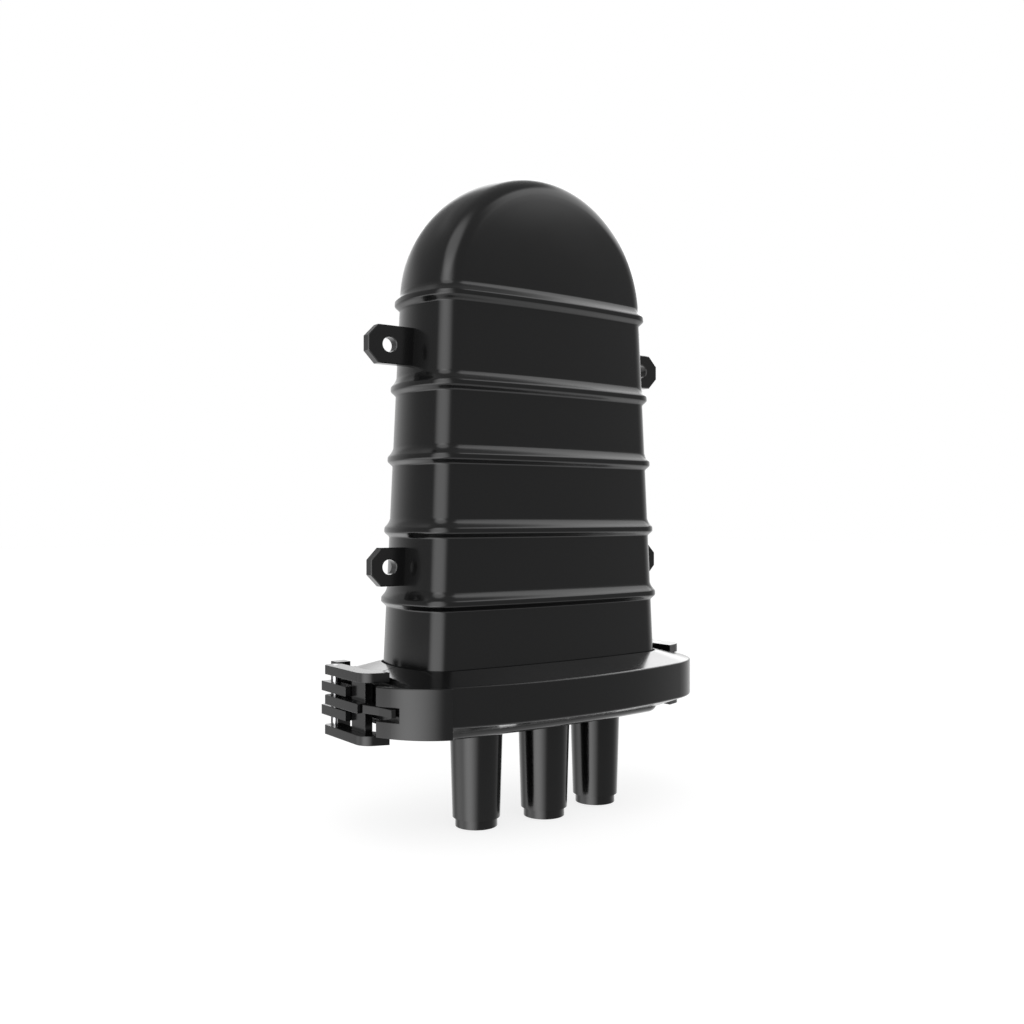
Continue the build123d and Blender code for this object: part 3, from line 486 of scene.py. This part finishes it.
def ear_grid(side, level):
    """One ear as a closed band, side -1 or 1 for left or right and level -1 or 1 for lower or upper.

    Its section runs from the hole over the front face, round the edge and back over the rear face. Points of
    the hole lie in the direction of the edge's points, at the hole's radius.
    """
    z = level * EAR_Z
    root = DOME_HALF[0] - DOME_TAPER[0] * (z - DOME_FOOT) - EAR_ROOT - EAR_X
    tip = EAR_REACH[level]
    corners = np.array([
        (root, -EAR_HALF_TALL), (tip - EAR_CHAMFER, -EAR_HALF_TALL), (tip, -EAR_TIP_HALF),
        (tip, EAR_TIP_HALF), (tip - EAR_CHAMFER, EAR_HALF_TALL), (root, EAR_HALF_TALL),
    ])
    edge = walk(corners)
    edge_in = walk(inset_polygon(corners, EAR_EDGE))
    way = edge / np.linalg.norm(edge, axis=1, keepdims=True)
    hole = way * EAR_HOLE_R
    hole_rim = way * (EAR_HOLE_R + EAR_EDGE)
    half = EAR_THICK / 2
    deep = half - EAR_EDGE
    rows = [
        (hole, -deep), (hole_rim, -half), (edge_in, -half), (edge, -deep), (edge, deep),
        (edge_in, half), (hole_rim, half), (hole, deep), (hole, -deep),
    ]
    flat = np.stack([at_height(points, y) for points, y in rows])
    return np.stack([side * (EAR_X + flat[..., 0]), flat[..., 2], z + flat[..., 1]], -1)


ears = {(side, level): ear_grid(side, level) for side in (-1, 1) for level in (-1, 1)}
print("ears:", len(ears), "of", ears[1, 1].shape[0], "rows")

# %% [markdown]
# A grid of points becomes a mesh when each cell is given a four-sided face. Blender could add the faces one
# by one, but numpy numbers all of them at once, which is quicker for 60,000 faces. Points that fall on the
# same place are then joined, so that shading runs on over every seam.

# %% From grids to a mesh
MERGE_M = 1e-6
SLIVER_M = 1e-7
SHARP_DEGREES = 40.0


def grid_faces(rows, columns, closed=False, flip=False):
    """Four-sided faces of a grid of points that are stored row by row."""
    wide = columns if closed else columns - 1
    i, j = np.meshgrid(np.arange(rows - 1), np.arange(wide), indexing="ij")
    k = (j + 1) % columns
    quads = np.stack([i * columns + j, i * columns + k, (i + 1) * columns + k, (i + 1) * columns + j], -1)
    quads = quads.reshape(-1, 4)
    return quads[:, ::-1] if flip else quads


def mesh_object(name, points_mm, quads, material):
    """Make an object from points in millimetres, join points that coincide and shade it smooth."""
    mesh = bpy.data.meshes.new(name)
    mesh.from_pydata((points_mm * MM).tolist(), [], quads.tolist())
    work = bmesh.new()
    work.from_mesh(mesh)
    bmesh.ops.remove_doubles(work, verts=work.verts, dist=MERGE_M)
    bmesh.ops.dissolve_degenerate(work, edges=work.edges, dist=SLIVER_M)
    work.to_mesh(mesh)
    work.free()
    mesh.shade_smooth()
    mesh.set_sharp_from_angle(angle=math.radians(SHARP_DEGREES))
    mesh.materials.append(material)
    made = bpy.data.objects.new(name, mesh)
    scene.collection.objects.link(made)
    return made


print("edges sharper than", SHARP_DEGREES, "degrees stay sharp")

# %% [markdown]
# Wall, top and ears leave the mould as one piece. They could stay separate objects, but one object rides on
# one body, takes one material and stands in for one piece of the CAD part. The ears on the right are mirror
# images, so their faces are turned round to point outwards again.

# %% Join the parts of the dome
grids = [shell, outer_top, inner_top]
faces = [
    grid_faces(shell.shape[0], columns, closed=True),
    grid_faces(*outer_top.shape[:2]),
    grid_faces(*inner_top.shape[:2], flip=True),
]
for (side, level), ear in ears.items():
    grids.append(ear)
    faces.append(grid_faces(*ear.shape[:2], closed=True, flip=side > 0))
points = [grid.reshape(-1, 3) for grid in grids]
starts = np.cumsum([0] + [len(p) for p in points[:-1]])
dome = mesh_object(
    "dome_skin",
    np.concatenate(points),
    np.concatenate([quads + first for quads, first in zip(faces, starts)]),
    cover_black,
)
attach(dome, "closure")
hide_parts("dome_cover")
print("dome triangles:", sum(len(p.vertices) - 2 for p in dome.data.polygons))

# %% [markdown]
# Light. A black gloss shows the room more than its own colour, so the room is drawn with care. Large lamps
# could draw the same reflections, but their edges would show in the gloss, while patches of light in the
# world fade out softly. A few small helpers make the nodes, so that the patches below read like sums.

# %% Nodes for the world's light
world = bpy.data.worlds.new("studio")
scene.world = world
world.use_nodes = True
tree = world.node_tree
tree.nodes.clear()


def feed(socket, value):
    """Give an input socket a number or another node's output."""
    if isinstance(value, (int, float)):
        socket.default_value = value
    else:
        tree.links.new(value, socket)


def compute(operation, first, second):
    """A math node on two inputs."""
    node = tree.nodes.new("ShaderNodeMath")
    node.operation = operation
    feed(node.inputs[0], first)
    feed(node.inputs[1], second)
    return node.outputs[0]


def product(first, *others):
    """Several values multiplied."""
    for other in others:
        first = compute("MULTIPLY", first, other)
    return first


def total(first, *others):
    """Several values added."""
    for other in others:
        first = compute("ADD", first, other)
    return first


print("world:", world.name)

# %% [markdown]
# A patch is a soft spot of light in the room, seen in one direction. An image of a studio could be wrapped
# round the scene, but its lights would be hard to move. Here the cosine between a ray's direction and the
# patch's direction runs through a smooth step. Two numbers say where the patch begins and where it is full.

# %% A patch of light
place = tree.nodes.new("ShaderNodeTexCoord")
way = place.outputs["Generated"]


def patch(direction, begins, full):
    """A smooth step of the cosine to a direction: 0 where it is `begins`, 1 where it is `full`."""
    cosine = tree.nodes.new("ShaderNodeVectorMath")
    cosine.operation = "DOT_PRODUCT"
    cosine.inputs[1].default_value = direction
    tree.links.new(way, cosine.inputs[0])
    step = tree.nodes.new("ShaderNodeMapRange")
    step.interpolation_type = "SMOOTHSTEP"
    step.inputs["From Min"].default_value = begins
    step.inputs["From Max"].default_value = full
    tree.links.new(cosine.outputs["Value"], step.inputs["Value"])
    return step.outputs["Result"]


UP = (0.0, 0.0, 1.0)
RIGHT = (1.0, 0.0, 0.0)
BACK = (0.0, 1.0, 0.0)
AHEAD = (0.593, 0.805, 0.0)
LEFT = (-0.805, 0.593, 0.0)
print("AHEAD is", round(math.degrees(math.atan2(AHEAD[0], AHEAD[1])), 1), "degrees right of the back")

# %% [markdown]
# The photo's reflections name its room. The rim of the dome is bright, so there is a white wall behind, which
# darkens high up on the left. The thin lines along the ribs come from a ring of soft light above. The band
# down the near corner comes from a light on the left, and the undersides are lit faintly from below.

# %% What the gloss mirrors
ROOM_DIM = 0.42
WALL_WHITE = 0.65
RING_LIGHT = 2.1
SHOULDER_LIGHT = 2.0
SIDE_LIGHT = 2.6
HIGH_LIGHT = 2.6
FLOOR_LIGHT = 0.8
LOW_LIGHT = 1.8
HIGH_BESIDE = (-0.65, -0.36, 0.67)
BESIDE = (-0.87, -0.49, 0.0)
HIGH_BEHIND = (0.59, 0.62, 0.52)
LOW_BESIDE = (-0.96, 0.1, -0.25)
dark_corner = product(patch(UP, begins=0.3, full=0.5), patch(LEFT, begins=0.0, full=0.3))
wall = product(patch(AHEAD, begins=0.0, full=0.95), WALL_WHITE, compute("SUBTRACT", 1.0, dark_corner))
ring = product(
    patch(UP, begins=0.38, full=0.48),
    patch(UP, begins=0.84, full=0.74),
    patch(AHEAD, begins=-0.55, full=-0.25),
    patch(BACK, begins=0.7, full=0.3),
    patch(RIGHT, begins=-0.55, full=-0.1),
    RING_LIGHT,
)
shoulder = product(patch(HIGH_BESIDE, begins=0.88, full=0.97), SHOULDER_LIGHT)
side_light = product(patch(BESIDE, begins=0.74, full=0.985), SIDE_LIGHT)
high_light = product(patch(HIGH_BEHIND, begins=0.88, full=0.97), HIGH_LIGHT)
floor_light = product(patch(UP, begins=-0.3, full=-0.6), FLOOR_LIGHT)
low_light = product(
    patch(UP, begins=-0.05, full=-0.2), patch(LOW_BESIDE, begins=0.55, full=0.95), LOW_LIGHT
)
room = total(wall, ring, shoulder, side_light, high_light, floor_light, low_light, ROOM_DIM)
print("world nodes so far:", len(tree.nodes))

# %% [markdown]
# The drawn room is for reflections alone. The camera and the clear plastic see plain white behind the
# closure, as in the photo, and matt pieces are lit evenly from all round. One room for all three would be
# simpler, but its patches would show in the picture's background.

# %% What each kind of ray sees
EVEN_LIGHT = 0.8
PLAIN_WHITE = 1.0


def background(strength):
    """White light of a given strength."""
    node = tree.nodes.new("ShaderNodeBackground")
    node.inputs["Color"].default_value = (1.0, 1.0, 1.0, 1.0)
    feed(node.inputs["Strength"], strength)
    return node.outputs[0]


def choose(share, first, second):
    """A mix of two lights: a share of 0 gives the first and 1 the second."""
    node = tree.nodes.new("ShaderNodeMixShader")
    tree.links.new(share, node.inputs["Fac"])
    tree.links.new(first, node.inputs[1])
    tree.links.new(second, node.inputs[2])
    return node.outputs[0]


def direct_view():
    """1 for rays from the camera or through clear plastic, 0 for all others."""
    rays = tree.nodes.new("ShaderNodeLightPath")
    return compute("MAXIMUM", rays.outputs["Is Camera Ray"], rays.outputs["Is Transmission Ray"])


mirrored = tree.nodes.new("ShaderNodeLightPath").outputs["Is Glossy Ray"]
light = choose(mirrored, background(EVEN_LIGHT), background(room))
light = choose(direct_view(), light, background(PLAIN_WHITE))
out = tree.nodes.new("ShaderNodeOutputWorld")
tree.links.new(light, out.inputs["Surface"])
print("world nodes:", len(tree.nodes))

# %% [markdown]
# The closure stands on a pale floor that catches a faint shadow. A white floor would light the underside too
# strongly, and a bright floor would be mirrored in the gloss. So the floor's paint is grey to the light,
# glows for the camera only, and is kept out of reflections.

# %% Floor
FLOOR_Z = -0.2215
FLOOR_HALF = 6.0
FLOOR_GREY = 0.3
FLOOR_SHOWN = 0.8
floor_corners = [(x * FLOOR_HALF, y * FLOOR_HALF, FLOOR_Z) for x, y in ((-1, -1), (1, -1), (1, 1), (-1, 1))]
floor_mesh = bpy.data.meshes.new("floor")
floor_mesh.from_pydata(floor_corners, [], [(0, 1, 2, 3)])
floor = bpy.data.objects.new("floor", floor_mesh)
scene.collection.objects.link(floor)
floor.visible_glossy = False
floor_paint = bpy.data.materials.new("floor_paint")
floor_paint.use_nodes = True
# From here on the helpers work on the floor's nodes.
tree = floor_paint.node_tree
tree.nodes.clear()
shine = tree.nodes.new("ShaderNodeEmission")
feed(shine.inputs["Strength"], product(direct_view(), FLOOR_SHOWN))
matt = tree.nodes.new("ShaderNodeBsdfDiffuse")
matt.inputs["Color"].default_value = (FLOOR_GREY, FLOOR_GREY, FLOOR_GREY, 1.0)
both = tree.nodes.new("ShaderNodeAddShader")
tree.links.new(shine.outputs[0], both.inputs[0])
tree.links.new(matt.outputs[0], both.inputs[1])
out = tree.nodes.new("ShaderNodeOutputMaterial")
tree.links.new(both.outputs[0], out.inputs["Surface"])
floor_mesh.materials.append(floor_paint)
print("floor at", round(FLOOR_Z / MM, 1), "mm")

# %% [markdown]
# One wide lamp above and in front lights the matt pieces, such as the trays and the seal. It could be a point
# or a sun, but those throw hard shadows that the studio photo doesn't have. It is kept out of the gloss,
# because the world already draws what the gloss mirrors.

# %% Lamp
LAMP_PLACE = Vector((-0.5, -0.6, 1.4))
LAMP_SIDE = 1.2
LAMP_RADIANCE = 1.0
lamp_data = bpy.data.lights.new("overhead", "AREA")
lamp_data.shape = "SQUARE"
lamp_data.size = LAMP_SIDE
lamp_data.energy = LAMP_RADIANCE * math.pi * LAMP_SIDE**2
lamp = bpy.data.objects.new("overhead", lamp_data)
scene.collection.objects.link(lamp)
lamp.location = LAMP_PLACE
lamp.rotation_euler = (-LAMP_PLACE).to_track_quat("-Z", "Y").to_euler()
lamp.visible_camera = False
lamp.visible_glossy = False
print("overhead lamp:", round(lamp_data.energy, 2), "watt")

# %% [markdown]
# The camera stands well to the left of the front, at about the height of the second rib, and looks level, as
# in the photo. It could be placed by eye, but a fit to the ear holes, rib ends and ports gives place, turn
# and focal length together, so that sizes read off the picture hold for the model.

# %% Camera
FOCAL_PIXELS = 1075.8
PHOTO_PIXELS = 1024.0
SENSOR_WIDTH = 36.0
CAMERA_PLACE = (-0.4143, -0.5506, -0.0356)
CAMERA_TILT = 90.25
CAMERA_TURN = -36.34
camera_data = bpy.data.cameras.new("camera")
camera_data.sensor_width = SENSOR_WIDTH
camera_data.lens = FOCAL_PIXELS * SENSOR_WIDTH / PHOTO_PIXELS
camera = bpy.data.objects.new("camera", camera_data)
scene.collection.objects.link(camera)
camera.location = CAMERA_PLACE
camera.rotation_euler = (math.radians(CAMERA_TILT), 0.0, math.radians(CAMERA_TURN))
scene.camera = camera
scene.view_settings.view_transform = "Standard"
print("lens:", round(camera_data.lens, 2), "mm")
